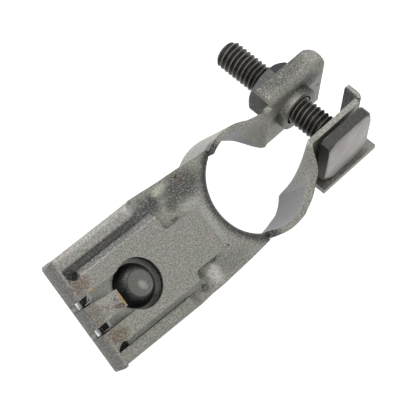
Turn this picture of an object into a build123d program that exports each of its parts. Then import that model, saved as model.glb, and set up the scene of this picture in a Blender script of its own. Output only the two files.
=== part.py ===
from build123d import *
import os
from math import cos, radians, sin

# A stamped battery post clamp with its clamp bolt, nut and cable stud, in millimetres.
# The origin is on the axis of the post bore, level with the top of the deck.
# +Z is the side that carries the folded strip, +X points from the tail to the ears,
# and +Y is the nut's side.

# Sheet, and the air between layers that lie on each other
sheet = 1.2
layer_gap = 0.15
hem_gap = 0.2

# Collar round the battery post
bore_radius = 10.0
collar_height = 13.2
rim_bend = 1.5
rim_span = 124

# Deck between the collar and the tail
deck_end_x = -19.0
deck_half_width = 11.3
joggle_length = 2.4
joggle_bend = 0.8
waist_x = -11.0
waist_half_width = 10.8
neck_reach = 0.5

# Tail floor, with a hem along each side
tail_end_x = -46.4
tail_half_width = 11.7
tail_corner = 1.3
cavity = 1.3
hem_width = 2.7
hem_length = 20.0
hem_ramp = 2.2
hem_relief = 0.5

# Strip that folds back over the floor
strip_y = -0.7
strip_side_gap = 0.1
strip_slope_width = 1.1
strip_length = 21.6
strip_corner = 1.6
nose_y = -1.35
nose_half_width = 4.65
nose_length = 7.5
nose_corner = 1.3
shoulder_fillet = 1.2
relief_radius = 1.2
relief_inset = 0.1
relief_offset = 1.8

# Keyhole, tongue and cable stud
stud_x = -33.3
stud_y = -1.1
keyhole_clearance = 0.65
slot_width = 7.6
tongue_width = 4.3
tongue_tip_width = 3.6
tongue_gap = 0.4
tongue_lift = 0.5
window_length = 3.7
window_bar = 0.6
window_bar_offset = 1.5
stud_radius = 2.95
stud_length = 16.0
stud_chamfer = 0.7
stud_neck_radius = 3.4
stud_neck_stand = 0.2
stud_head_radius = 4.2
stud_top_radius = 2.7
stud_head_height = 3.1
stud_seat_clearance = 0.02

# Ears, slanted about X so that a spanner reaches the nut
ear_slant = 28.5
ear_turn = 2.5
ear_x = 18.3
ear_y = 6.2
ear_z = -6.0
ear_in = 6.7
ear_out = 8.2
ear_spread = 9.2
ear_bend = 0.5
nut_ear_below = 6.4
nut_flange_reach = 3.2
nut_flange_rise = 0.3
nut_flange_corner = 2.4
boss_radius = 4.6
boss_height = 1.5
head_ear_above = 5.1
hook_depth = 3.0
hook_bend = 0.8
lip_reach = 4.4

# Clamp bolt and nut
bolt_radius = 2.95
bolt_length = 29.0
bolt_hole_clearance = 0.35
bolt_chamfer = 0.8
head_side = 12.0
head_thickness = 2.7
head_gap = 1.0
head_clearance = 0.35
head_corner = 0.8
nut_width = 9.8
nut_thickness = 5.8
nut_gap = 0.1
nut_bore_clearance = 0.05
nut_chamfer = 0.5
nut_flange_clearance = 0.15

# Arms from the collar to the ears. Each leaves the round part at its own angle, and on its way
# there are two places that say how far its top edge and its foot have turned, and which way
# its outer side faces.
arm_foot_clearance = 0.1
nut_arm_angle = 62
nut_arm_step = 0.3
nut_tooth_x = 0.8
nut_mid_angle = 51
nut_mid_out = 0.8
nut_mid_foot_angle = 46
nut_mid_facing = 72
nut_end_angle = 43.3
nut_end_out = 1.95
nut_end_drop = 0.8
nut_end_foot_angle = 29.5
nut_end_foot_lift = 0.6
nut_end_facing = 68
nut_ear_lead = 1.1
head_arm_angle = -40
head_arm_rise = 0.9
head_arm_lift = 1.0
head_tooth_x = 3.4
head_mid_angle = -17.9
head_mid_out = 0.4
head_mid_rise = 2.2
head_mid_foot_angle = -33.5
head_mid_foot_out = 0.7
head_mid_foot_lift = 2.4
head_mid_facing = -49
head_end_angle = -3.2
head_end_out = 0.6
head_end_rise = 2.9
head_end_foot_angle = -28.1
head_end_foot_out = 1.7
head_end_foot_lift = 4.2
head_end_facing = -66
tooth_height = 0.35
tooth_ramp = 1.2

# Sizes that follow from the ones above
wall_radius = bore_radius + sheet
rim_outer_bend = rim_bend + sheet
rim_radius = bore_radius + rim_outer_bend
floor_top = -cavity
floor_bottom = floor_top - sheet
strip_bottom = layer_gap
strip_top = strip_bottom + sheet
fold_radius = (strip_top - floor_bottom) / 2
fold_x = tail_end_x + fold_radius
fold_z = floor_bottom + fold_radius
hem_radius = sheet + hem_gap / 2
hem_y = tail_half_width - hem_radius
hem_inner_y = tail_half_width - hem_width
hem_start_x = fold_x + hem_relief
hem_end_x = hem_start_x + hem_length
strip_half_width = hem_inner_y - abs(strip_y) - strip_side_gap
strip_flat_half_width = strip_half_width - strip_slope_width
strip_drop = strip_bottom - floor_top - layer_gap
relief_y = strip_half_width - relief_inset
shoulder_x = fold_x + strip_length
nose_end_x = shoulder_x + nose_length
shoulder_step = nose_y - nose_half_width - strip_y + strip_half_width
shoulder_bend = min(shoulder_fillet, shoulder_step / 2)
keyhole_radius = stud_head_radius + keyhole_clearance
tongue_end_x = stud_x - stud_head_radius - tongue_gap
slot_side = (slot_width - tongue_width) / 2
slot_y = (slot_width + tongue_width) / 4
joggle_x = deck_end_x - joggle_length
hole_radius = bolt_radius + bolt_hole_clearance
nut_corner = nut_width / 2 / cos(radians(30))
flange_under = nut_corner + nut_flange_clearance
nut_ear_top = flange_under - ear_bend
ear_left = ear_x - ear_in
head_inner = ear_spread + sheet + head_gap
lip_floor = -head_side / 2 - head_clearance
head_ear_bottom = lip_floor + ear_bend

# The slanted frame of the ears: its X runs along them, turned a little from the part's X, its
# Y climbs the ears, and its Z runs along the bolt towards the head, from the inner face of the
# nut's ear.
slant = radians(ear_slant)
turn = radians(ear_turn)
ears = Plane(
    origin=(ear_x, ear_y, ear_z),
    x_dir=(cos(turn), sin(turn), 0),
    z_dir=(cos(slant) * sin(turn), -cos(slant) * cos(turn), sin(slant)),
)
ear_side = Plane(origin=ears.from_local_coords((ear_out, 0, 0)), x_dir=ears.z_dir, z_dir=-ears.x_dir)


def on_ear(x, climb, along):
    """A place on the slanted frame, with x measured along the ears from the bore axis."""
    return ears.from_local_coords(Vector(x - ear_x, climb, along))


def radial_plane(angle):
    """The upright plane through the bore axis at an angle in degrees from +X."""
    return Plane(origin=(0, 0, 0), x_dir=facing(angle), z_dir=facing(angle - 90))


def facing(angle):
    """The level direction at an angle in degrees from +X."""
    return Vector(cos(radians(angle)), sin(radians(angle)), 0)


def on_bore(angle, z, out=0):
    """A place at a distance outside the wall of the bore."""
    return facing(angle) * (bore_radius + out) + Vector(0, 0, z)


def across_sheet(top, bottom, outward):
    """A face across the sheet, from its inner edge line towards its outer side."""
    top, bottom, outward = Vector(top), Vector(bottom), Vector(outward)
    along = (bottom - top).normalized()
    step = (outward - along * along.dot(outward)).normalized() * sheet
    return Face(Wire.make_polygon([top, bottom, bottom + step, top + step], close=True))


# Deck, joggle and tail floor are one strip of sheet seen from the side
with BuildPart() as floor:
    with BuildSketch(Plane.XZ.offset(-tail_half_width)) as floor_profile:
        with BuildLine():
            Polyline(
                (0, 0),
                (deck_end_x, 0),
                (joggle_x, floor_top),
                (fold_x, floor_top),
                (fold_x, floor_bottom),
                (joggle_x + sheet / 2, floor_bottom),
                (deck_end_x + sheet / 2, -sheet),
                (0, -sheet),
                close=True,
            )
        make_face()
        bends = floor_profile.vertices().filter_by_position(Axis.X, joggle_x - sheet, deck_end_x + sheet)
        fillet(bends, joggle_bend)
    extrude(amount=2 * tail_half_width)
    with BuildSketch(Plane.XY.offset(-2 * sheet)):
        Circle(rim_radius)
    extrude(amount=3 * sheet, mode=Mode.SUBTRACT)

# At the tail's end the sheet bends back over itself
with BuildPart() as fold:
    with BuildSketch(Plane.XZ.offset(-tail_half_width)):
        with Locations((fold_x, fold_z)):
            Circle(fold_radius)
            Circle(fold_radius - sheet, mode=Mode.SUBTRACT)
        with Locations((fold_x + fold_radius, fold_z)):
            Rectangle(2 * fold_radius, 2 * fold_radius, mode=Mode.SUBTRACT)
    extrude(amount=2 * tail_half_width)

# Rim: a quarter bend from the deck down into the collar
with BuildPart() as rim:
    with BuildSketch(radial_plane(180 - rim_span / 2)):
        with BuildLine():
            CenterArc((rim_radius, -rim_outer_bend), rim_outer_bend, 90, 90)
            Line((bore_radius, -rim_outer_bend), (wall_radius, -rim_outer_bend))
            CenterArc((rim_radius, -rim_outer_bend), rim_bend, 90, 90)
            Line((rim_radius, -sheet), (rim_radius, 0))
        make_face()
    revolve(axis=Axis.Z, revolution_arc=rim_span)

# Outline of all that in plan: round tail corners, notches at the hems, a waist at the collar
neck = on_bore(180 - rim_span / 2, 0) * ((wall_radius + neck_reach) / bore_radius)
with BuildPart() as plan:
    with BuildSketch(Plane.XY.offset(floor_bottom - sheet)) as outline:
        with BuildLine():
            Polyline(
                (tail_end_x, tail_half_width),
                (hem_end_x, tail_half_width),
                (deck_end_x, deck_half_width),
                (waist_x, waist_half_width),
                (neck.X, neck.Y),
                (neck.X, 0),
                (tail_end_x, 0),
                close=True,
            )
        make_face()
        fillet(outline.vertices().sort_by(Axis.X)[:2].sort_by(Axis.Y)[-1], tail_corner)
        with Locations((hem_start_x + hem_length / 2, hem_y + hem_radius)):
            Rectangle(hem_length, 2 * hem_radius, mode=Mode.SUBTRACT)
        mirror(about=Plane.XZ)
    extrude(amount=strip_top - floor_bottom + 2 * sheet)

# Hems: each side of the floor is turned up and in, and ends in a ramp towards the collar
with BuildPart() as hems:
    with BuildSketch(Plane.YZ.offset(hem_start_x)):
        with Locations((hem_y, floor_bottom + hem_radius)):
            Circle(hem_radius)
            Circle(hem_gap / 2, mode=Mode.SUBTRACT)
        with Locations((hem_y - hem_radius, floor_bottom + hem_radius)):
            Rectangle(2 * hem_radius, 2 * hem_radius, mode=Mode.SUBTRACT)
        with Locations(((hem_inner_y + hem_y) / 2, floor_top + hem_gap + sheet / 2)):
            Rectangle(hem_y - hem_inner_y, sheet)
    extrude(amount=hem_length)
    with BuildSketch(Plane.XZ):
        with BuildLine():
            Polyline(
                (hem_end_x - hem_ramp, floor_bottom + 2 * hem_radius),
                (hem_end_x, floor_bottom + 2 * hem_radius),
                (hem_end_x, floor_top),
                close=True,
            )
        make_face()
    extrude(amount=2 * tail_half_width, both=True, mode=Mode.SUBTRACT)
    mirror(about=Plane.XZ)

# Strip: flat over the cavity, with sides that slope down inside the hems, and a nose
with BuildPart() as strip:
    with BuildSketch(Plane.YZ.offset(fold_x)):
        with BuildLine():
            Polyline(
                (strip_y - strip_half_width, strip_top - strip_drop),
                (strip_y - strip_flat_half_width, strip_top),
                (strip_y + strip_flat_half_width, strip_top),
                (strip_y + strip_half_width, strip_top - strip_drop),
                (strip_y + strip_half_width, strip_bottom - strip_drop),
                (strip_y + strip_flat_half_width, strip_bottom),
                (strip_y - strip_flat_half_width, strip_bottom),
                (strip_y - strip_half_width, strip_bottom - strip_drop),
                close=True,
            )
        make_face()
    extrude(amount=nose_end_x - fold_x)
    with BuildSketch(Plane.XY.offset(floor_bottom)) as strip_plan:
        with Locations(((fold_x + shoulder_x) / 2, strip_y)):
            Rectangle(strip_length, 2 * strip_half_width)
        with Locations((shoulder_x, nose_y)):
            Rectangle(2 * nose_length, 2 * nose_half_width)
        ends = strip_plan.vertices().group_by(Axis.X)
        fillet(ends[-2].sort_by(Axis.Y)[1:3], shoulder_bend)
        fillet(strip_plan.vertices().group_by(Axis.X)[-1], nose_corner)
        fillet(strip_plan.vertices().sort_by(Axis.Y)[-1], strip_corner)
    extrude(amount=2 * (strip_top - floor_bottom), mode=Mode.INTERSECT)
    with BuildSketch(Plane.XY.offset(floor_bottom)):
        with Locations((fold_x + relief_offset, strip_y)):
            with Locations((0, relief_y), (0, -relief_y)):
                Circle(relief_radius)
        with Locations((stud_x, stud_y)):
            Circle(keyhole_radius)
        with Locations(((fold_x + stud_x) / 2, strip_y)):
            Rectangle(stud_x - fold_x, slot_width)
    extrude(amount=2 * (strip_top - floor_bottom), mode=Mode.SUBTRACT)

# Tongue in the middle of the slot, sprung up beside the stud's head
with BuildPart() as tongue:
    with BuildSketch(Plane.XZ.offset(-tail_half_width)):
        with BuildLine():
            Polyline(
                (fold_x, strip_bottom),
                (tongue_end_x, strip_bottom + tongue_lift),
                (tongue_end_x, strip_top + tongue_lift),
                (fold_x, strip_top),
                close=True,
            )
        make_face()
    extrude(amount=2 * tail_half_width)
    with BuildSketch(Plane.XY.offset(strip_bottom)):
        with BuildLine():
            Polyline(
                (fold_x, strip_y - tongue_width / 2),
                (tongue_end_x, stud_y - tongue_tip_width / 2),
                (tongue_end_x, stud_y + tongue_tip_width / 2),
                (fold_x, strip_y + tongue_width / 2),
                close=True,
            )
        make_face()
    extrude(amount=2 * sheet + tongue_lift, mode=Mode.INTERSECT)

# Slots beside the tongue run round the fold, over windows in the floor
with BuildPart() as slots:
    with BuildSketch(Plane.XY.offset(fold_z)):
        with Locations((fold_x - fold_radius / 2, strip_y)):
            with Locations((0, slot_y), (0, -slot_y)):
                Rectangle(fold_radius, slot_side)
    extrude(amount=2 * fold_radius)
    with BuildSketch(Plane.XY.offset(fold_z)):
        with Locations((fold_x + (window_length - sheet) / 2, strip_y)):
            with Locations((0, slot_y), (0, -slot_y)):
                Rectangle(window_length, slot_side)
        with Locations((fold_x - sheet / 2 + window_bar_offset, strip_y)):
            Rectangle(window_bar, slot_width, mode=Mode.SUBTRACT)
    extrude(amount=-2 * fold_radius)

# Collar below the rim
with BuildPart() as collar:
    with BuildSketch(radial_plane(180 - rim_span / 2)):
        with Locations((bore_radius + sheet / 2, -(rim_outer_bend + collar_height) / 2)):
            Rectangle(sheet, collar_height - rim_outer_bend)
    revolve(axis=Axis.Z, revolution_arc=rim_span)

# Round part of the nut's arm, whose edge has a small tooth and then drops
with BuildPart() as nut_arm_root:
    with BuildSketch(radial_plane(nut_arm_angle)):
        with Locations((bore_radius + sheet / 2, (tooth_height - collar_height) / 2)):
            Rectangle(sheet, collar_height + tooth_height)
    revolve(axis=Axis.Z, revolution_arc=180 - rim_span / 2 - nut_arm_angle)
    with BuildSketch(Plane.XZ):
        with BuildLine():
            Polyline(
                (-wall_radius, 0),
                (nut_tooth_x - tooth_ramp, 0),
                (nut_tooth_x, tooth_height),
                (nut_tooth_x + tooth_ramp, -nut_arm_step),
                (wall_radius, -nut_arm_step),
                (wall_radius, sheet),
                (-wall_radius, sheet),
                close=True,
            )
        make_face()
    extrude(amount=-2 * wall_radius, mode=Mode.SUBTRACT)

# Round part of the head's arm, whose edges rise towards the ear
head_root_x = on_bore(head_arm_angle, 0).X
with BuildPart() as head_arm_root:
    with BuildSketch(radial_plane(180 + rim_span / 2)):
        with Locations((bore_radius + sheet / 2, (head_arm_rise - collar_height) / 2)):
            Rectangle(sheet, collar_height + head_arm_rise)
    revolve(axis=Axis.Z, revolution_arc=180 - rim_span / 2 + head_arm_angle)
    with BuildSketch(Plane.XZ):
        with BuildLine():
            Polyline(
                (-wall_radius, 0),
                (head_tooth_x - tooth_ramp, 0),
                (head_tooth_x, tooth_height),
                (head_tooth_x + tooth_ramp, 0),
                (head_root_x, head_arm_rise),
                (wall_radius, head_arm_rise),
                (wall_radius, head_arm_rise + sheet),
                (-wall_radius, head_arm_rise + sheet),
                close=True,
            )
        make_face()
        with BuildLine():
            Polyline(
                (head_tooth_x, -collar_height - sheet),
                (head_tooth_x, -collar_height),
                (head_tooth_x + tooth_ramp, -collar_height + head_arm_lift),
                (wall_radius, -collar_height + head_arm_lift),
                (wall_radius, -collar_height - sheet),
                close=True,
            )
        make_face()
    extrude(amount=2 * wall_radius, mode=Mode.SUBTRACT)

# Nut's ear: its top edge is bent outwards over the nut, and a boss stands on its inner face
with BuildPart() as nut_ear:
    with BuildSketch(ear_side) as nut_ear_profile:
        with BuildLine():
            Polyline(
                (0, -nut_ear_below),
                (0, flange_under + sheet),
                (-sheet - nut_flange_reach, flange_under + sheet + nut_flange_rise),
                (-sheet - nut_flange_reach, flange_under + nut_flange_rise),
                (-sheet, flange_under),
                (-sheet, -nut_ear_below),
                close=True,
            )
        make_face()
        corners = nut_ear_profile.vertices().group_by(Axis.X)
        fillet(corners[-1].sort_by(Axis.Y)[-1], ear_bend + sheet)
        fillet(nut_ear_profile.vertices().group_by(Axis.X)[1].sort_by(Axis.Y)[-1], ear_bend)
    extrude(amount=ear_in + ear_out)
    flange_tip = nut_ear.edges().filter_by(Axis((0, 0, 0), ears.y_dir)).sort_by(Axis((0, 0, 0), ears.z_dir))
    fillet(flange_tip[:2].sort_by(Axis.X)[-1], nut_flange_corner)
    with BuildSketch(ears):
        Circle(boss_radius)
    extrude(amount=boss_height)

# Head's ear: its far side is hooked back, and a lip at its foot keeps the head from turning
ear_top = Plane(origin=ears.from_local_coords((0, head_ear_above, 0)), x_dir=ears.x_dir, z_dir=-ears.y_dir)
with BuildPart() as head_ear:
    with BuildSketch(ear_top) as hook_profile:
        with BuildLine():
            Polyline(
                (-ear_in, ear_spread),
                (ear_out - sheet, ear_spread),
                (ear_out - sheet, ear_spread - hook_depth),
                (ear_out, ear_spread - hook_depth),
                (ear_out, ear_spread + sheet),
                (-ear_in, ear_spread + sheet),
                close=True,
            )
        make_face()
        fillet(hook_profile.vertices().group_by(Axis.X)[-1].sort_by(Axis.Y)[-1], hook_bend + sheet)
        fillet(hook_profile.vertices().filter_by_position(Axis.X, ear_out - sheet, ear_out - sheet)
               .sort_by(Axis.Y)[-1], hook_bend)
    extrude(amount=head_ear_above - head_ear_bottom)
    with BuildSketch(ear_side) as lip_profile:
        with BuildLine():
            Polyline(
                (ear_spread, head_ear_bottom),
                (ear_spread, lip_floor - sheet),
                (ear_spread + sheet + lip_reach, lip_floor - sheet),
                (ear_spread + sheet + lip_reach, lip_floor),
                (ear_spread + sheet, lip_floor),
                (ear_spread + sheet, head_ear_bottom),
                close=True,
            )
        make_face()
        fillet(lip_profile.vertices().sort_by(Axis.X)[:2].sort_by(Axis.Y)[0], ear_bend + sheet)
        fillet(lip_profile.vertices().filter_by_position(Axis.X, ear_spread + sheet, ear_spread + sheet)
               .sort_by(Axis.Y)[0], ear_bend)
    extrude(amount=ear_in + ear_out)

# Each arm leaves the round part and turns into its slanted ear
with BuildPart() as nut_arm:
    loft(
        sections=[
            across_sheet(
                on_bore(nut_arm_angle, -nut_arm_step),
                on_bore(nut_arm_angle, -collar_height),
                facing(nut_arm_angle),
            ),
            across_sheet(
                on_bore(nut_mid_angle, -nut_arm_step, nut_mid_out),
                on_bore(nut_mid_foot_angle, -collar_height, arm_foot_clearance),
                facing(nut_mid_facing),
            ),
            across_sheet(
                on_bore(nut_end_angle, -nut_end_drop, nut_end_out),
                on_bore(nut_end_foot_angle, nut_end_foot_lift - collar_height, arm_foot_clearance),
                facing(nut_end_facing),
            ),
            across_sheet(
                on_ear(ear_left - nut_ear_lead, nut_ear_top, 0),
                on_ear(ear_left - nut_ear_lead, -nut_ear_below, 0),
                -ears.z_dir,
            ),
            across_sheet(on_ear(ear_left, nut_ear_top, 0), on_ear(ear_left, -nut_ear_below, 0), -ears.z_dir),
        ]
    )

with BuildPart() as head_arm:
    loft(
        sections=[
            across_sheet(
                on_bore(head_arm_angle, head_arm_rise),
                on_bore(head_arm_angle, head_arm_lift - collar_height),
                facing(head_arm_angle),
            ),
            across_sheet(
                on_bore(head_mid_angle, head_mid_rise, head_mid_out),
                on_bore(head_mid_foot_angle, head_mid_foot_lift - collar_height, head_mid_foot_out),
                facing(head_mid_facing),
            ),
            across_sheet(
                on_bore(head_end_angle, head_end_rise, head_end_out),
                on_bore(head_end_foot_angle, head_end_foot_lift - collar_height, head_end_foot_out),
                facing(head_end_facing),
            ),
            across_sheet(
                on_ear(ear_left, head_ear_above, ear_spread),
                on_ear(ear_left, head_ear_bottom, ear_spread),
                ears.z_dir,
            ),
        ]
    )

# The whole clamp body is one sheet
with BuildPart() as clamp_body:
    add(floor.part)
    add(fold.part)
    add(rim.part)
    add(plan.part, mode=Mode.INTERSECT)
    add(hems.part)
    add(strip.part)
    add(tongue.part)
    add(slots.part, mode=Mode.SUBTRACT)
    add(collar.part)
    add(nut_arm_root.part)
    add(head_arm_root.part)
    add(nut_arm.part)
    add(head_arm.part)
    add(nut_ear.part)
    add(head_ear.part)
    with Locations(ears):
        Cylinder(hole_radius, 2 * (ear_spread + 2 * sheet), mode=Mode.SUBTRACT)
    with Locations((stud_x, stud_y, floor_top)):
        Cylinder(stud_neck_radius + stud_seat_clearance, 3 * sheet, mode=Mode.SUBTRACT)
clamp_body.part.label = "clamp_body"

# Cable stud: its head sits on the tail floor, and its shank passes down through it
with BuildPart() as cable_stud:
    with BuildSketch(Plane.XZ) as stud_profile:
        with BuildLine():
            Polyline(
                (0, -stud_length),
                (stud_radius, -stud_length),
                (stud_radius, -sheet - stud_neck_stand),
                (stud_neck_radius, -sheet - stud_neck_stand),
                (stud_neck_radius, 0),
                (stud_head_radius, 0),
                (stud_top_radius, stud_head_height),
                (0, stud_head_height),
                close=True,
            )
        make_face()
        chamfer(stud_profile.vertices().group_by(Axis.Y)[0].sort_by(Axis.X)[-1], stud_chamfer)
    revolve(axis=Axis.Z)
cable_stud.part.position = (stud_x, stud_y, floor_top)
cable_stud.part.label = "cable_stud"

# Clamp bolt: a square head, and a shank through both ears
bolt_seat = Plane(origin=ears.from_local_coords((0, 0, head_inner)), x_dir=ears.x_dir, z_dir=ears.z_dir)
with BuildPart() as clamp_bolt:
    with BuildSketch(bolt_seat):
        RectangleRounded(head_side, head_side, head_corner)
    extrude(amount=head_thickness)
    with BuildSketch(bolt_seat):
        Circle(bolt_radius)
    extrude(amount=-bolt_length)
    shank_end = clamp_bolt.edges().filter_by(GeomType.CIRCLE).sort_by(Axis((0, 0, 0), ears.z_dir))[0]
    chamfer(shank_end, bolt_chamfer)
clamp_bolt.part.label = "clamp_bolt"

# Nut, against the outer face of its ear
nut_seat = Plane(origin=ears.from_local_coords((0, 0, -sheet - nut_gap)), x_dir=ears.x_dir, z_dir=-ears.z_dir)
with BuildPart() as nut_round:
    with BuildSketch(nut_seat):
        Circle(nut_corner)
    extrude(amount=nut_thickness)
    chamfer(nut_round.edges().filter_by(GeomType.CIRCLE), nut_chamfer)
with BuildPart() as clamp_nut:
    with BuildSketch(nut_seat):
        RegularPolygon(nut_corner, 6, rotation=30)
        Circle(bolt_radius + nut_bore_clearance, mode=Mode.SUBTRACT)
    extrude(amount=nut_thickness)
    add(nut_round.part, mode=Mode.INTERSECT)
clamp_nut.part.label = "clamp_nut"

os.makedirs("parts", exist_ok=True)
export_step(clamp_body.part, "parts/clamp_body.step")
export_step(cable_stud.part, "parts/cable_stud.step")
export_step(clamp_bolt.part, "parts/clamp_bolt.step")
export_step(clamp_nut.part, "parts/clamp_nut.step")
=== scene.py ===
import bmesh
import bpy
from math import cos, pi, radians, sin, tan
from mathutils import Matrix, Vector


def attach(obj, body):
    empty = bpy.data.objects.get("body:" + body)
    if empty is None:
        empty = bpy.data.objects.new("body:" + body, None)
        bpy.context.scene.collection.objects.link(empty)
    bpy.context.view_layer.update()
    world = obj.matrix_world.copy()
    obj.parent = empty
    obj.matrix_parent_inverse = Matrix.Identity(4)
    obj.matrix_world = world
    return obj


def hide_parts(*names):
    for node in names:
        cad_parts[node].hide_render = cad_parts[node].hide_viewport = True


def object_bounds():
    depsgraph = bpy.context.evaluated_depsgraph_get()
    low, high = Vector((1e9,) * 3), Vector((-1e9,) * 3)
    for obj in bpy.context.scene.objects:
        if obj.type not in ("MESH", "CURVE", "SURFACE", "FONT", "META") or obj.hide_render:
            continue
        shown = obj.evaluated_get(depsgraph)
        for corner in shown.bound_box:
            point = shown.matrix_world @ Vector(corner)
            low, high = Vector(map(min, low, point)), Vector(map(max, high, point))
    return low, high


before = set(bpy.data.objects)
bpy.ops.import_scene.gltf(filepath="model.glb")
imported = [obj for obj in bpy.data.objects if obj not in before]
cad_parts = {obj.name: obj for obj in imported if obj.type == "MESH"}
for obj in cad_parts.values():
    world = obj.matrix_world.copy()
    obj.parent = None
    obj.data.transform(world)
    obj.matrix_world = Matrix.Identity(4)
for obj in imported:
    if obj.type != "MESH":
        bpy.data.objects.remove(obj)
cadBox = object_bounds()
mm = 0.001
print("frame loaded")

# placing

# the ears lean and turn together: x runs along them, y climbs them, z follows the bolt to its head
ears = {"origin": (18.3, 6.2, -6.0), "slant": 28.5, "turn": 2.5, "headInner": 11.4, "nutSeat": -1.3}
earsLean = Matrix.Rotation(radians(90 - ears["slant"]), 4, "X")
earsTurn = Matrix.Rotation(radians(ears["turn"]), 4, "Z") @ earsLean


def onBolt(along):
    return Matrix.Translation(Vector(ears["origin"]) * mm) @ earsTurn @ Matrix.Translation((0, 0, along * mm))


def onEar(x, climb, along):  # in millimetres of the part's frame
    return Vector(ears["origin"]) + earsTurn.to_3x3() @ Vector((x, climb, along))


# mesh helpers

roundSteps = 96  # sides of a ring and of the stud's turned head


def fillRims(bm):
    bmesh.ops.holes_fill(bm, edges=[edge for edge in bm.edges if edge.is_boundary], sides=0)


# a ring at a height, or at a height that depends on how far out it is
def makeRing(bm, z, radiusAt):
    made = bmesh.ops.create_circle(bm, cap_ends=False, segments=roundSteps, radius=1.0)
    for vert in made["verts"]:
        angle = vert.co.to_2d().angle_signed(Vector((1, 0)), 0.0)
        reach = radiusAt(angle)
        height = z(reach) if callable(z) else z
        vert.co = Vector((vert.co.x * reach, vert.co.y * reach, height)) * mm
    return list({edge for vert in made["verts"] for edge in vert.link_edges})


def bridgeRings(bm, rings, closed=False):
    pairs = list(zip(rings, rings[1:])) + ([(rings[-1], rings[0])] if closed else [])
    for low, high in pairs:
        bmesh.ops.bridge_loops(bm, edges=low + high)


# how far a polygon with rounded corners reaches at an angle
def polygonReach(sides, flat, corner):
    step = 2 * pi / sides

    def reach(angle):
        turned = (angle + step / 2) % step - step / 2
        return min(flat / 2 / cos(turned), corner)

    return reach


# a vee profile of the whole length, turned once while it climbs one pitch
def makeThread(bm, thread):
    pitch, crest, root = thread["pitch"], thread["crest"], thread["root"]
    shoulder = crest - 0.06
    turns = int((thread["top"] - thread["bottom"]) / pitch) + 3
    verts = []
    for turn in range(turns):
        base = thread["bottom"] - 1.5 * pitch + turn * pitch
        for radius, share in ((root, 0.0), (root, 0.12), (shoulder, 0.44), (crest, 0.5), (shoulder, 0.6)):
            verts.append(bm.verts.new(Vector((radius, 0, base + share * pitch)) * mm))
    edges = [bm.edges.new(pair) for pair in zip(verts, verts[1:])]
    bmesh.ops.spin(
        bm, geom=verts + edges, cent=(0, 0, 0), axis=(0, 0, 1), dvec=(0, 0, pitch * mm / thread["steps"]),
        angle=2 * pi, steps=thread["steps"], use_merge=False, use_duplicate=False,
    )
    bmesh.ops.remove_doubles(bm, verts=bm.verts[:], dist=2e-6)
    for level, side in ((thread["bottom"], -1), (thread["top"], 1)):
        bmesh.ops.bisect_plane(
            bm, geom=bm.verts[:] + bm.edges[:] + bm.faces[:], dist=1e-8, plane_co=(0, 0, level * mm),
            plane_no=(0, 0, side), clear_outer=True,
        )
    for vert in bm.verts:
        limit = (crest - thread["chamfer"]) * mm + max(vert.co.z - thread["bottom"] * mm, 0)
        reach = vert.co.to_2d().length
        if reach > limit:
            vert.co.x *= limit / reach
            vert.co.y *= limit / reach
    fillRims(bm)


def joinMesh(bm, other):
    mesh = bpy.data.meshes.new("joined")
    other.to_mesh(mesh)
    other.free()
    bm.from_mesh(mesh)
    bpy.data.meshes.remove(mesh)


def finishPiece(name, bm, body, material, node, smooth=32):
    bmesh.ops.remove_doubles(bm, verts=bm.verts[:], dist=1e-7)
    bmesh.ops.recalc_face_normals(bm, faces=bm.faces[:])
    mesh = bpy.data.meshes.new(name)
    bm.to_mesh(mesh)
    bm.free()
    mesh.shade_smooth()
    mesh.set_sharp_from_angle(angle=radians(smooth))
    piece = bpy.data.objects.new(name, mesh)
    bpy.context.scene.collection.objects.link(piece)
    piece.data.materials.append(material)
    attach(piece, body)
    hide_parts(node)
    print("made", name)
    return piece


# material helpers, all in millimetres of the part's own frame

def startMaterial(name):
    material = bpy.data.materials.new(name)
    material.use_nodes = True
    tree = material.node_tree
    coords = tree.nodes.new("ShaderNodeTexCoord")
    scaled = tree.nodes.new("ShaderNodeVectorMath")
    scaled.operation = "SCALE"
    scaled.inputs["Scale"].default_value = 1000
    tree.links.new(coords.outputs["Object"], scaled.inputs[0])
    return material, tree, scaled.outputs[0]


def shaderOf(tree):
    return tree.nodes["Principled BSDF"]


def makeNoise(tree, place, scale, detail=3.0, stretch=(1, 1, 1), rough=0.5):
    mapping = tree.nodes.new("ShaderNodeMapping")
    mapping.inputs["Scale"].default_value = stretch
    tree.links.new(place, mapping.inputs["Vector"])
    noise = tree.nodes.new("ShaderNodeTexNoise")
    noise.inputs["Scale"].default_value = scale
    noise.inputs["Detail"].default_value = detail
    noise.inputs["Roughness"].default_value = rough
    tree.links.new(mapping.outputs[0], noise.inputs["Vector"])
    return noise.outputs["Fac"]


def remap(tree, value, low, high, toLow=0.0, toHigh=1.0):
    node = tree.nodes.new("ShaderNodeMapRange")
    node.interpolation_type = "SMOOTHSTEP"
    node.inputs["From Min"].default_value = low
    node.inputs["From Max"].default_value = high
    node.inputs["To Min"].default_value = toLow
    node.inputs["To Max"].default_value = toHigh
    tree.links.new(value, node.inputs["Value"])
    return node.outputs["Result"]


def calc(tree, operation, first, second):
    node = tree.nodes.new("ShaderNodeMath")
    node.operation = operation
    for socket, value in zip(node.inputs, (first, second)):
        if isinstance(value, (int, float)):
            socket.default_value = value
        else:
            tree.links.new(value, socket)
    return node.outputs[0]


def multiply(tree, first, second):
    return calc(tree, "MULTIPLY", first, second)


def mixColour(tree, mask, below, above):
    node = tree.nodes.new("ShaderNodeMix")
    node.data_type = "RGBA"
    for socket, value in ((node.inputs[0], mask), (node.inputs[6], below), (node.inputs[7], above)):
        if isinstance(value, (int, float)):
            socket.default_value = value
        elif isinstance(value, tuple):
            socket.default_value = (*value, 1)
        else:
            tree.links.new(value, socket)
    return node.outputs[2]


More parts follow.
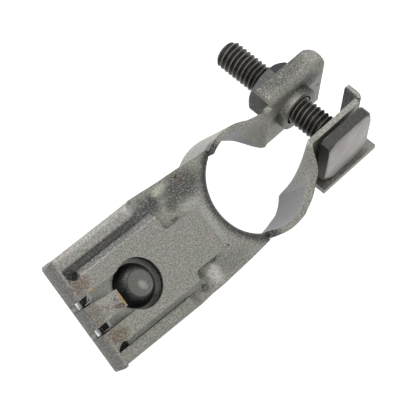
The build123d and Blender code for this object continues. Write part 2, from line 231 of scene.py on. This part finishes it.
# the place measured from an origin, along turned axes and in units of size
def onAxis(tree, place, origin, tilt, size=(1, 1, 1)):
    mapping = tree.nodes.new("ShaderNodeMapping")
    mapping.vector_type = "TEXTURE"
    mapping.inputs["Location"].default_value = origin
    mapping.inputs["Rotation"].default_value = tilt
    mapping.inputs["Scale"].default_value = size
    tree.links.new(place, mapping.inputs["Vector"])
    return mapping.outputs[0]


# 1 inside an ellipsoid and 0 outside it, with a soft edge
def makePatch(tree, place, centre, size, turn=0.0, soft=0.6):
    local = onAxis(tree, place, centre, (0, 0, radians(turn)), size)
    length = tree.nodes.new("ShaderNodeVectorMath")
    length.operation = "LENGTH"
    tree.links.new(local, length.inputs[0])
    return remap(tree, length.outputs["Value"], 1 - soft, 1 + soft * 0.2, 1, 0)


# 1 between two limits and 0 outside them, with soft edges
def makeBand(tree, value, limits, soft):
    rise = remap(tree, value, limits[0] - soft, limits[0])
    return multiply(tree, rise, remap(tree, value, limits[1], limits[1] + soft, 1, 0))


# the place, pushed about by noise, so that a patch gets a ragged edge
def wobble(tree, place, scale, reach):
    noise = tree.nodes.new("ShaderNodeTexNoise")
    noise.inputs["Scale"].default_value = scale
    noise.inputs["Detail"].default_value = 3
    tree.links.new(place, noise.inputs["Vector"])
    centred = tree.nodes.new("ShaderNodeVectorMath")
    centred.operation = "SUBTRACT"
    centred.inputs[1].default_value = (0.5, 0.5, 0.5)
    tree.links.new(noise.outputs["Color"], centred.inputs[0])
    pushed = tree.nodes.new("ShaderNodeVectorMath")
    pushed.operation = "MULTIPLY_ADD"
    pushed.inputs[1].default_value = (reach, reach, reach)
    tree.links.new(centred.outputs[0], pushed.inputs[0])
    tree.links.new(place, pushed.inputs[2])
    return pushed.outputs[0]


def splitPlace(tree, place):
    node = tree.nodes.new("ShaderNodeSeparateXYZ")
    tree.links.new(place, node.inputs[0])
    return node.outputs


# how far a place is from the z axis
def reachFromAxis(tree, parts):
    squares = calc(tree, "ADD", multiply(tree, parts[0], parts[0]), multiply(tree, parts[1], parts[1]))
    return calc(tree, "SQRT", squares, 0)


def addBump(tree, height, strength, distance):
    node = tree.nodes.new("ShaderNodeBump")
    node.inputs["Strength"].default_value = strength
    node.inputs["Distance"].default_value = distance * mm
    tree.links.new(height, node.inputs["Height"])
    tree.links.new(node.outputs[0], shaderOf(tree).inputs["Normal"])


def finishShader(tree, colour, grain, roughness, metallic):
    shader = shaderOf(tree)
    tree.links.new(colour, shader.inputs["Base Color"])
    tree.links.new(remap(tree, grain, 0.3, 0.7, *roughness), shader.inputs["Roughness"])
    shader.inputs["Metallic"].default_value = metallic


# tin plated sheet

sheetLook = {
    "base": (0.30, 0.295, 0.268),
    "olive": (0.285, 0.29, 0.245),
    "pink": (0.31, 0.28, 0.262),
    # painted shade on the fold's bend
    "fold": (0.15, 0.147, 0.141),
    "grainSize": 2.9,
    "grainDark": (0.045, 0.044, 0.04),
    "grainLight": (0.66, 0.65, 0.59),
    # painted shade along the rim's bend round the collar
    "rim": (0.025, 0.025, 0.027),
    # painted bluish shade on the bore's wall, and its real scratches
    "wall": (0.225, 0.23, 0.25),
    "wallScratch": (0.42, 0.42, 0.44),
    "metallic": 0.5,
    "roughness": (0.42, 0.6),
}

# where the painted shade on the fold, the painted bluish shade on the collar's wall and the painted dark rim
# round it begin and end
sheetZones = {
    "foldEdge": (-45.2, -44.7),
    "wallReach": (10.05, 10.5), "wallTop": (-1.2, -0.4),
    "rimReach": (11.1, 13.0), "rimAhead": (-4.0, -2.0), "rimFoot": (-3.0, -1.6),
}

# what time and the press left on the sheet, and painted shade and painted highlights: place, size, turn,
# colour, strength
sheetStainsAndShading = [
    ((-43.0, 5.4, 1.2), (2.6, 1.9, 1.5), 0, (0.15, 0.098, 0.055), 0.65),  # brown by the far relief
    ((-42.6, -6.2, 1.2), (2.6, 1.9, 1.5), 0, (0.14, 0.088, 0.05), 0.7),  # brown by the near relief
    ((-44.0, -0.5, 1.2), (1.3, 9.0, 2.2), 0, (0.15, 0.12, 0.10), 0.6),  # dull band behind the fold
    ((-41.6, -0.7, 1.8), (1.8, 1.2, 0.8), 0, (0.22, 0.16, 0.125), 0.45),  # rust on the tongue
    ((-39.2, -2.0, 1.8), (1.5, 0.7, 0.6), -25, (0.07, 0.04, 0.022), 0.8),  # rust by the tongue's tip
    ((-39.4, -0.5, 1.75), (0.9, 0.34, 0.5), -55, (0.03, 0.02, 0.015), 0.95),  # painted shade of a dent by the tongue's tip
    ((-38.1, -1.2, 1.6), (0.28, 2.0, 0.9), 0, (0.42, 0.27, 0.05), 0.9),  # yellow tip
    ((-41.35, 3.1, 1.3), (0.75, 0.55, 0.25), 0, (0.42, 0.27, 0.06), 0.9),  # yellow burr
    ((-40.4, 0.0, 1.9), (2.2, 1.3, 0.9), 0, (0.42, 0.41, 0.39), 0.5),  # light tongue
    ((-34.0, 10.3, 0.3), (13.0, 1.1, 1.6), 0, (0.38, 0.38, 0.365), 0.55),  # painted highlight on the far hem
    ((-25.2, 10.3, 0.0), (2.0, 1.3, 1.6), 0, (0.62, 0.62, 0.59), 0.75),  # painted highlight at its collar end
    ((-22.0, 8.6, -0.7), (3.4, 2.9, 1.3), 0, (0.035, 0.035, 0.037), 0.88),  # painted shade in the valley
    ((-17.9, 9.8, -0.1), (2.4, 0.95, 0.9), 0, (0.62, 0.62, 0.52), 0.85),  # painted highlight on the bend
    ((-14.2, 8.0, 0.0), (5.6, 3.4, 1.3), -5, (0.06, 0.06, 0.058), 0.86),  # painted shade in the corner by the nut's arm
    ((-15.0, 4.1, 0.0), (2.8, 1.1, 1.0), 0, (0.44, 0.44, 0.42), 0.6),  # painted light on the deck round the rim
    ((-13.3, -0.8, 0.0), (1.2, 5.6, 1.0), 0, (0.46, 0.46, 0.44), 0.6),
    ((-19.7, 3.8, 0.0), (1.7, 0.55, 0.7), 0, (0.05, 0.05, 0.05), 0.75),  # shade beside the nose
    ((-18.4, -6.4, 0.0), (2.4, 0.6, 0.7), 0, (0.045, 0.045, 0.045), 0.8),
    ((-21.1, -7.2, -0.4), (0.75, 2.2, 1.0), 0, (0.04, 0.04, 0.04), 0.85),
    ((-21.8, -9.6, -0.9), (1.2, 1.2, 1.0), 0, (0.045, 0.045, 0.045), 0.8),
    ((-18.8, -8.6, -0.3), (1.7, 2.6, 1.1), 0, (0.62, 0.61, 0.59), 0.85),  # painted highlight on the bend at the near side
    # painted shade on the near deck
    ((-14.2, -8.8, 0.0), (4.6, 2.2, 1.2), 0, (0.19, 0.188, 0.18), 0.6),
    ((-13.4, -6.1, 0.0), (0.3, 0.3, 0.8), 0, (0.01, 0.01, 0.01), 1.0),  # painted shade of a pit in the deck
    ((-14.0, 9.9, 0.0), (1.5, 0.8, 0.9), 0, (0.2, 0.15, 0.08), 0.5),  # stain and painted shade of a hole at the waist
    ((-14.1, 9.9, 0.0), (0.55, 0.32, 0.8), 20, (0.01, 0.01, 0.01), 1.0),
    ((-42.7, 7.3, -1.3), (1.9, 1.6, 1.0), 0, (0.008, 0.008, 0.01), 1.0),  # painted shadow under the reliefs
    ((-42.7, -8.8, -1.3), (1.9, 1.6, 1.0), 0, (0.008, 0.008, 0.01), 1.0),
    ((-45.9, 2.3, 0.1), (0.8, 0.95, 1.9), 0, (0.5, 0.5, 0.46), 0.85),  # cut ends in the fold
    ((-45.9, -3.7, 0.1), (0.8, 0.95, 1.9), 0, (0.5, 0.5, 0.46), 0.85),
    ((16.9, 13.6, -1.6), (9.5, 5.0, 3.0), 0, (0.09, 0.09, 0.082), 0.8),  # darker flange
    (onEar(3.6, 3.9, 0.3), (5.0, 2.9, 2.4), 0, (0.025, 0.025, 0.027), 0.88),  # shade under it
    # painted shade on the ear
    (onEar(-4.9, 0.2, 0.2), (2.2, 3.6, 1.6), 0, (0.08, 0.08, 0.078), 0.7),
    (onEar(0, 0, 1.6), (4.9, 4.9, 0.5), 0, (0.46, 0.455, 0.42), 0.6),  # painted highlight on the face of the boss
    (onEar(-3.1, -2.9, 1.5), (0.35, 0.35, 0.5), 0, (0.01, 0.01, 0.01), 1.0),  # painted shade of a pit in it
    ((-18.0, 6.3, 0.0), (1.8, 1.5, 1.0), 0, (0.06, 0.06, 0.058), 0.75),  # shade by the far corner
    ((-5.0, 10.3, -8.0), (7.0, 2.5, 6.5), 0, (0.2, 0.2, 0.2), 0.6),  # darker foot of the nut's arm
]

# long bands of painted shade and painted light: limits in x, y and z, softness of the sides in x and y,
# colour, strength
sheetPaintedShadeAndLight = [
    ((25.2, 25.75), (-1.5, 6.5), (-6.5, 3.6), 0.12, (0.022, 0.02, 0.03), 0.92),  # painted shade inside the hook
    ((-44.4, -22.4), (6.9, 8.7), (-1.4, 1.2), 0.8, (0.085, 0.083, 0.09), 0.7),  # painted shade in the far groove
    ((-44.4, -23.4), (8.7, 9.0), (-1.4, 1.2), 0.3, (0.05, 0.05, 0.053), 0.35),  # painted shade along the line under the far hem
    ((-41.5, -22.6), (-9.0, -8.0), (-1.4, 1.2), 0.7, (0.13, 0.13, 0.127), 0.35),  # painted shade in the near groove
    ((-42.2, -28.0), (-4.7, 3.3), (-1.6, -1.24), 0.1, (0.50, 0.50, 0.455), 1.0),  # painted light on the floor in the cuts
    ((-45.4, -42.3), (-4.9, 3.5), (-1.6, -1.1), 0.1, (0.008, 0.008, 0.009), 1.0),  # painted shade at its end by the fold
    ((-44.3, -28.2), (-7.4, 6.0), (-1.16, 1.1), 0.1, (0.012, 0.012, 0.014), 1.0),  # painted shade on the walls of the cuts
]
shadeSoftness = 0.06  # of a long shade's two limits in z
smallMark = 0.6  # a mark with a side below this keeps a clean edge


def addSheetStainsAndShading(tree, place, colour):
    ragged = wobble(tree, place, 0.9, 1.2)
    for centre, size, turn, tint, strength in sheetStainsAndShading:
        at = place if min(size) < smallMark else ragged
        mask = multiply(tree, makePatch(tree, at, centre, size, turn), strength)
        colour = mixColour(tree, mask, colour, tint)
    x, y, z = splitPlace(tree, place)
    for alongX, alongY, alongZ, soft, tint, strength in sheetPaintedShadeAndLight:
        mask = multiply(tree, makeBand(tree, x, alongX, soft), makeBand(tree, y, alongY, soft))
        mask = multiply(tree, mask, makeBand(tree, z, alongZ, shadeSoftness))
        colour = mixColour(tree, multiply(tree, mask, strength), colour, tint)
    return colour


def makeSheetMaterial():
    material, tree, place = startMaterial("plated sheet")
    look, zones = sheetLook, sheetZones
    olive = remap(tree, makeNoise(tree, place, 0.22, 3), 0.42, 0.62)
    pink = remap(tree, makeNoise(tree, place, 0.3, 4, (1, 1.3, 1)), 0.5, 0.7)
    colour = mixColour(tree, olive, look["base"], look["olive"])
    colour = mixColour(tree, pink, colour, look["pink"])
    parts = splitPlace(tree, place)
    reach = reachFromAxis(tree, parts)
    # painted bluish shade on the bore's wall, streaked with real scratches
    inBore = remap(tree, reach, *zones["wallReach"], 1, 0)
    wallMask = multiply(tree, inBore, remap(tree, parts[2], *zones["wallTop"], 1, 0))
    scratch = remap(tree, makeNoise(tree, place, 1.0, 4, (3.2, 3.2, 0.12)), 0.56, 0.72)
    wall = mixColour(tree, multiply(tree, scratch, 0.3), look["wall"], look["wallScratch"])
    colour = mixColour(tree, multiply(tree, wallMask, 0.8), colour, wall)
    # painted shade on the fold's bend
    foldMask = remap(tree, parts[0], *zones["foldEdge"], 1, 0)
    colour = mixColour(tree, multiply(tree, foldMask, 0.9), colour, look["fold"])
    colour = addSheetStainsAndShading(tree, place, colour)
    # painted shade along the rim's bend round the collar
    nearRim = remap(tree, reach, *zones["rimReach"], 1, 0)
    rimMask = multiply(tree, nearRim, remap(tree, parts[0], *zones["rimAhead"], 1, 0))
    rimMask = multiply(tree, rimMask, remap(tree, parts[2], *zones["rimFoot"]))
    colour = mixColour(tree, multiply(tree, rimMask, 0.92), colour, look["rim"])
    grain = makeNoise(tree, place, look["grainSize"], 4, rough=0.75)
    calm = multiply(tree, remap(tree, foldMask, 0, 1, 1, 0.6), remap(tree, wallMask, 0, 1, 1, 0.5))
    darkGrain = multiply(tree, remap(tree, grain, 0.4, 0.49, 1, 0), calm)
    lightGrain = multiply(tree, remap(tree, grain, 0.52, 0.62), calm)
    colour = mixColour(tree, multiply(tree, darkGrain, 0.46), colour, look["grainDark"])
    colour = mixColour(tree, multiply(tree, lightGrain, 0.42), colour, look["grainLight"])
    finishShader(tree, colour, grain, look["roughness"], look["metallic"])
    dents = multiply(tree, makeNoise(tree, place, 0.5, 2), 1.6)
    addBump(tree, calc(tree, "ADD", grain, dents), 0.5, 0.06)
    return material


# threaded steel

steelLook = {
    "thread": (0.032, 0.03, 0.027),
    "crest": (0.34, 0.335, 0.30),
    "headSide": (0.062, 0.061, 0.058),
    # painted highlight on the head's outer face
    "headFaceHighlight": (0.28, 0.255, 0.249),
    "nutSide": (0.06, 0.06, 0.058),
    # painted shade on the nut's top flat
    "nutTopShade": (0.03, 0.026, 0.032),
    "studCone": (0.04, 0.04, 0.039),
    # painted light on the stud's top disc, and a painted highlight on it
    "studDiscLight": (0.13, 0.13, 0.12),
    "studHighlight": (0.45, 0.45, 0.42),
    "headBlush": (0.31, 0.305, 0.29),
    "headScratch": (0.09, 0.085, 0.085),
    "nutBlush": (0.085, 0.085, 0.082),
    "grainDark": (0.05, 0.05, 0.05),
    "grainLight": (0.6, 0.6, 0.57),
    "metallic": 0.8,
}


def finishSteel(tree, place, colour, roughness=(0.32, 0.5), grainSize=3.0, bump=0.3):
    grain = makeNoise(tree, place, grainSize, 4, rough=0.65)
    colour = mixColour(tree, remap(tree, grain, 0.48, 0.3, 0, 0.4), colour, steelLook["grainDark"])
    colour = mixColour(tree, remap(tree, grain, 0.55, 0.78, 0, 0.35), colour, steelLook["grainLight"])
    finishShader(tree, colour, grain, roughness, steelLook["metallic"])
    addBump(tree, grain, bump, 0.04)


def threadColour(tree, reach, place):
    patina = remap(tree, makeNoise(tree, place, 0.7, 3), 0.3, 0.6, 0.45, 1.0)
    # lighter towards the crests
    lighterCrests = multiply(tree, remap(tree, reach, 2.83, 2.94), patina)
    return mixColour(tree, lighterCrests, steelLook["thread"], steelLook["crest"])


def makeBoltMaterial():
    material, tree, place = startMaterial("bolt steel")
    parts = splitPlace(tree, onAxis(tree, place, ears["origin"], earsTurn.to_euler()))
    colour = threadColour(tree, reachFromAxis(tree, parts), place)
    headStart = ears["headInner"]
    headEnd = headStart + bolt["headThickness"]
    inHead = remap(tree, parts[2], headStart - 0.05, headStart + 0.05)
    onFace = remap(tree, parts[2], headEnd - 0.45, headEnd - 0.2)
    colour = mixColour(tree, inHead, colour, steelLook["headSide"])
    # painted highlight on the head's outer face, with a random blush
    blush = remap(tree, makeNoise(tree, place, 0.35, 3), 0.4, 0.65)
    face = mixColour(tree, blush, steelLook["headFaceHighlight"], steelLook["headBlush"])
    colour = mixColour(tree, onFace, colour, face)
    scratch = remap(tree, makeNoise(tree, place, 1.1, 3, (0.4, 3, 3)), 0.66, 0.74)
    scratch = multiply(tree, scratch, multiply(tree, inHead, 0.5))
    colour = mixColour(tree, scratch, colour, steelLook["headScratch"])
    finishSteel(tree, place, colour)
    return material


def makeNutMaterial():
    material, tree, place = startMaterial("nut steel")
    parts = splitPlace(tree, onAxis(tree, place, ears["origin"], earsTurn.to_euler()))
    blush = remap(tree, makeNoise(tree, place, 0.5, 3), 0.4, 0.65)
    colour = mixColour(tree, blush, steelLook["nutSide"], steelLook["nutBlush"])
    # painted shade on the nut's top flat
    turn = radians(nut["topTurn"])
    climb = calc(tree, "ADD", multiply(tree, parts[0], sin(turn)), multiply(tree, parts[1], cos(turn)))
    colour = mixColour(tree, remap(tree, climb, 4.6, 4.8), colour, steelLook["nutTopShade"])
    finishSteel(tree, place, colour, (0.5, 0.62), 2.4, 0.2)
    return material


def makeStudMaterial():
    material, tree, place = startMaterial("stud steel")
    local = onAxis(tree, place, (stud["x"], stud["y"], stud["seat"]), (0, 0, 0))
    parts = splitPlace(tree, local)
    reach = reachFromAxis(tree, parts)
    colour = threadColour(tree, reach, place)
    colour = mixColour(tree, remap(tree, parts[2], -1.3, -1.2), colour, steelLook["studCone"])
    # painted light on the stud's top disc
    top = stud["headHeight"]
    onDisc = multiply(tree, remap(tree, parts[2], top - 0.35, top - 0.2), remap(tree, reach, 2.3, 2.65, 1, 0))
    colour = mixColour(tree, onDisc, colour, steelLook["studDiscLight"])
    # painted highlight on the disc
    studHighlightMask = makePatch(tree, wobble(tree, local, 1.2, 0.8), (0.3, -0.6, top), (0.9, 1.3, 1), 20)
    studHighlightMask = multiply(tree, studHighlightMask, multiply(tree, onDisc, 0.45))
    colour = mixColour(tree, studHighlightMask, colour, steelLook["studHighlight"])
    finishSteel(tree, place, colour, (0.35, 0.55))
    return material


# clamp body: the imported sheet, with its press-rounded edges

sheetEdges = {"round": 0.13, "segments": 2, "angle": 32}
burr = {"place": (-41.35, 3.1, 1.34), "wire": 0.1, "reach": 0.38, "turn": 230, "steps": 14}


def addBurr(bm):
    curl = bmesh.new()
    bmesh.ops.create_circle(curl, cap_ends=True, segments=8, radius=burr["wire"] * mm)
    upright = Matrix.Translation((burr["reach"] * mm, 0, 0)) @ Matrix.Rotation(pi / 2, 4, "X")
    bmesh.ops.transform(curl, matrix=upright, verts=curl.verts[:])
    bmesh.ops.spin(
        curl, geom=curl.verts[:] + curl.edges[:] + curl.faces[:], cent=(0, 0, 0), axis=(0, 0, 1),
        dvec=(0, 0, 0), angle=radians(burr["turn"]), steps=burr["steps"],
        use_merge=False, use_duplicate=False,
    )
    fillRims(curl)
    bmesh.ops.translate(curl, vec=Vector(burr["place"]) * mm, verts=curl.verts[:])
    joinMesh(bm, curl)


def makeClampBody():
    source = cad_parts["clamp_body"]
    bm = bmesh.new()
    bm.from_mesh(source.data)
    bmesh.ops.remove_doubles(bm, verts=bm.verts[:], dist=2e-6)
    bmesh.ops.dissolve_limit(bm, angle_limit=radians(0.6), verts=bm.verts[:], edges=bm.edges[:])
    addBurr(bm)
    piece = finishPiece("clampBodySheet", bm, "root", makeSheetMaterial(), "clamp_body")
    bevel = piece.modifiers.new("pressed edges", "BEVEL")
    bevel.width = sheetEdges["round"] * mm
    bevel.segments = sheetEdges["segments"]
    bevel.limit_method = "ANGLE"
    bevel.angle_limit = radians(sheetEdges["angle"])
    bevel.harden_normals = True


makeClampBody()

# clamp bolt

bolt = {
    "headSide": 12.0, "headCorner": 7.95, "headThickness": 2.7, "faceReach": 6.9, "faceDrop": 24, "edge": 0.2,
    "sideDrop": 0.18, "crownDrop": 0.04, "crownInset": 0.55, "faceInset": 0.4,
    "thread": {
        "crest": 2.95, "root": 2.42, "pitch": 1.0, "bottom": -29.0, "top": 0.3, "chamfer": 0.75, "steps": 48,
    },
}


def makeClampBolt():
    bm = bmesh.new()
    makeThread(bm, bolt["thread"])
    outline = polygonReach(4, bolt["headSide"], bolt["headCorner"])
    thick, face, drop = bolt["headThickness"], bolt["faceReach"], tan(radians(bolt["faceDrop"]))
    edge, sideTop, crownTop = bolt["edge"], thick - bolt["sideDrop"], thick - bolt["crownDrop"]
    shape = bmesh.new()
    rings = [
        makeRing(shape, 0, lambda a: outline(a) - edge),
        makeRing(shape, edge, outline),
        makeRing(shape, lambda r: sideTop - max(r - face, 0) * drop, outline),
        makeRing(shape, lambda r: crownTop - max(r - face + edge, 0) * drop, lambda a: outline(a) - edge),
        makeRing(shape, thick, lambda a: min(outline(a) - bolt["crownInset"], face - bolt["faceInset"])),
    ]
    bridgeRings(shape, rings)
    fillRims(shape)
    joinMesh(bm, shape)
    bmesh.ops.transform(bm, matrix=onBolt(ears["headInner"]), verts=bm.verts[:])
    finishPiece("clampBoltThreaded", bm, "bolt", makeBoltMaterial(), "clamp_bolt")


makeClampBolt()

# nut

nut = {
    "flat": 9.8, "corner": 5.6, "thickness": 5.8, "bore": 3.0, "countersink": 3.35, "sinkDepth": 0.35,
    "faceReach": 4.75, "faceDrop": 28, "edge": 0.08, "topTurn": 30,
}


def makeClampNut():
    bm = bmesh.new()
    outline = polygonReach(6, nut["flat"], nut["corner"])
    thick, face, drop = nut["thickness"], nut["faceReach"], tan(radians(nut["faceDrop"]))
    rings = [
        makeRing(bm, nut["sinkDepth"], lambda a: nut["bore"]),
        makeRing(bm, 0, lambda a: nut["countersink"]),
        makeRing(bm, 0, lambda a: face),
        makeRing(bm, lambda r: max(r - face, 0) * drop + nut["edge"], outline),
        makeRing(bm, lambda r: thick - max(r - face, 0) * drop - nut["edge"], outline),
        makeRing(bm, thick, lambda a: face),
        makeRing(bm, thick, lambda a: nut["countersink"]),
        makeRing(bm, thick - nut["sinkDepth"], lambda a: nut["bore"]),
    ]
    bridgeRings(bm, rings, closed=True)
    flip = Matrix.Rotation(pi, 4, "X")
    bmesh.ops.transform(bm, matrix=onBolt(ears["nutSeat"]) @ flip, verts=bm.verts[:])
    finishPiece("clampNutForged", bm, "nut", makeNutMaterial(), "clamp_nut")


makeClampNut()

# cable stud

stud = {
    "x": -33.3, "y": -1.1, "seat": -1.3, "headHeight": 3.1,
    "profile": (
        (0.0, 3.0), (2.2, 3.0), (2.38, 3.02), (2.5, 3.1), (2.68, 3.08), (2.82, 2.95),
        (3.25, 2.3), (3.65, 1.6), (3.95, 0.95), (4.15, 0.4), (4.2, 0.18), (4.15, 0.0),
        (3.4, 0.0), (3.4, -1.4), (2.6, -1.4), (0.0, -1.4),
    ),
    "thread": {
        "crest": 2.95, "root": 2.4, "pitch": 1.0, "bottom": -16.0, "top": -1.2, "chamfer": 0.6, "steps": 48,
    },
}


def makeCableStud():
    bm = bmesh.new()
    makeThread(bm, stud["thread"])
    top = bmesh.new()
    verts = [top.verts.new(Vector((r, 0, z)) * mm) for r, z in stud["profile"]]
    edges = [top.edges.new(pair) for pair in zip(verts, verts[1:])]
    bmesh.ops.spin(
        top, geom=verts + edges, cent=(0, 0, 0), axis=(0, 0, 1), dvec=(0, 0, 0),
        angle=2 * pi, steps=roundSteps, use_merge=True, use_duplicate=False,
    )
    bmesh.ops.remove_doubles(top, verts=top.verts[:], dist=1e-6)
    joinMesh(bm, top)
    bmesh.ops.translate(bm, vec=Vector((stud["x"], stud["y"], stud["seat"])) * mm, verts=bm.verts[:])
    finishPiece("cableStudThreaded", bm, "root", makeStudMaterial(), "cable_stud", 40)


makeCableStud()

# floor, light and camera

stage = {
    "floorColour": (0.93, 0.93, 0.93), "floorSize": 1.6, "drop": 0.0002, "glow": 0.85, "worldLight": 0.26,
    # a painted shadow: a dark ellipse on the floor under the tail, so that the cuts by the fold show dark
    "paintedShadow": {
        "centre": (-34.3, -2.5, -17.5), "size": (4.1, 7.5, 4.0), "soft": 0.3, "colour": (0.01, 0.01, 0.011),
    },
}


# 1 for camera, glossy and transmission rays, and 0 for the rest
def seenRays(tree):
    path = tree.nodes.new("ShaderNodeLightPath")
    seen = calc(tree, "MAXIMUM", path.outputs["Is Camera Ray"], path.outputs["Is Glossy Ray"])
    return calc(tree, "MAXIMUM", seen, path.outputs["Is Transmission Ray"])


def makeStage():
    bm = bmesh.new()
    bmesh.ops.create_grid(bm, x_segments=1, y_segments=1, size=stage["floorSize"] / 2)
    bmesh.ops.translate(bm, vec=(0, 0, cadBox[0][2] - stage["drop"]), verts=bm.verts[:])
    mesh = bpy.data.meshes.new("floor")
    bm.to_mesh(mesh)
    bm.free()
    floor = bpy.data.objects.new("floor", mesh)
    bpy.context.scene.collection.objects.link(floor)
    material, tree, place = startMaterial("pale floor")
    shader = shaderOf(tree)
    # painted shadow under the tail
    paintedShadow = stage["paintedShadow"]
    inPaintedShadow = makePatch(tree, place, paintedShadow["centre"], paintedShadow["size"], soft=paintedShadow["soft"])
    colour = mixColour(tree, inPaintedShadow, stage["floorColour"], paintedShadow["colour"])
    tree.links.new(colour, shader.inputs["Base Color"])
    tree.links.new(colour, shader.inputs["Emission Color"])
    shader.inputs["Roughness"].default_value = 0.9
    shader.inputs["Specular IOR Level"].default_value = 0
    tree.links.new(multiply(tree, seenRays(tree), stage["glow"]), shader.inputs["Emission Strength"])
    floor.data.materials.append(material)


makeStage()

view = {
    "target": Vector((-12.338, 1.656, 0.005)),
    "right": Vector((0.6981, -0.5803, 0.4197)),
    "up": Vector((0.5560, 0.8086, 0.1929)),
    "back": Vector((-0.4512, 0.0986, 0.8869)),
    "distance": 563,
    "lens": 264.2,
    "sensor": 36,
    "clip": (0.01, 20),
}


def makeCamera():
    data = bpy.data.cameras.new("camera")
    data.lens = view["lens"]
    data.sensor_width = view["sensor"]
    data.clip_start, data.clip_end = view["clip"]
    camera = bpy.data.objects.new("camera", data)
    turn = Matrix((view["right"], view["up"], view["back"])).transposed().to_4x4()
    camera.matrix_world = Matrix.Translation((view["target"] + view["back"] * view["distance"]) * mm) @ turn
    bpy.context.scene.collection.objects.link(camera)
    bpy.context.scene.camera = camera


makeCamera()

# where each lamp stands, seen from the camera: right, up, towards the camera; then its side and watts
lamps = {
    "key": ((-0.5, 0.7, 0.6), 0.75, 5.4),
    "fill": ((0.9, -0.15, 0.7), 0.9, 0.5),
    "low": ((-0.5, -0.9, 0.5), 0.8, 0.4),
}
lampDistance = 0.7


def makeLamps():
    for name, (place, size, power) in lamps.items():
        data = bpy.data.lights.new(name, "AREA")
        data.size = size
        data.energy = power
        lamp = bpy.data.objects.new(name, data)
        direction = view["right"] * place[0] + view["up"] * place[1] + view["back"] * place[2]
        lamp.location = view["target"] * mm + direction * lampDistance
        lamp.rotation_euler = direction.to_track_quat("Z", "Y").to_euler()
        bpy.context.scene.collection.objects.link(lamp)


makeLamps()


def makeWorld():
    world = bpy.data.worlds.new("studio")
    world.use_nodes = True
    bpy.context.scene.world = world
    tree = world.node_tree
    background = tree.nodes["Background"]
    strength = remap(tree, seenRays(tree), 0, 1, stage["worldLight"], 1.0)
    tree.links.new(strength, background.inputs["Strength"])
    background.inputs["Color"].default_value = (1, 1, 1, 1)


makeWorld()
bpy.context.scene.view_settings.view_transform = "Standard"
print("stage, lamps and camera made")
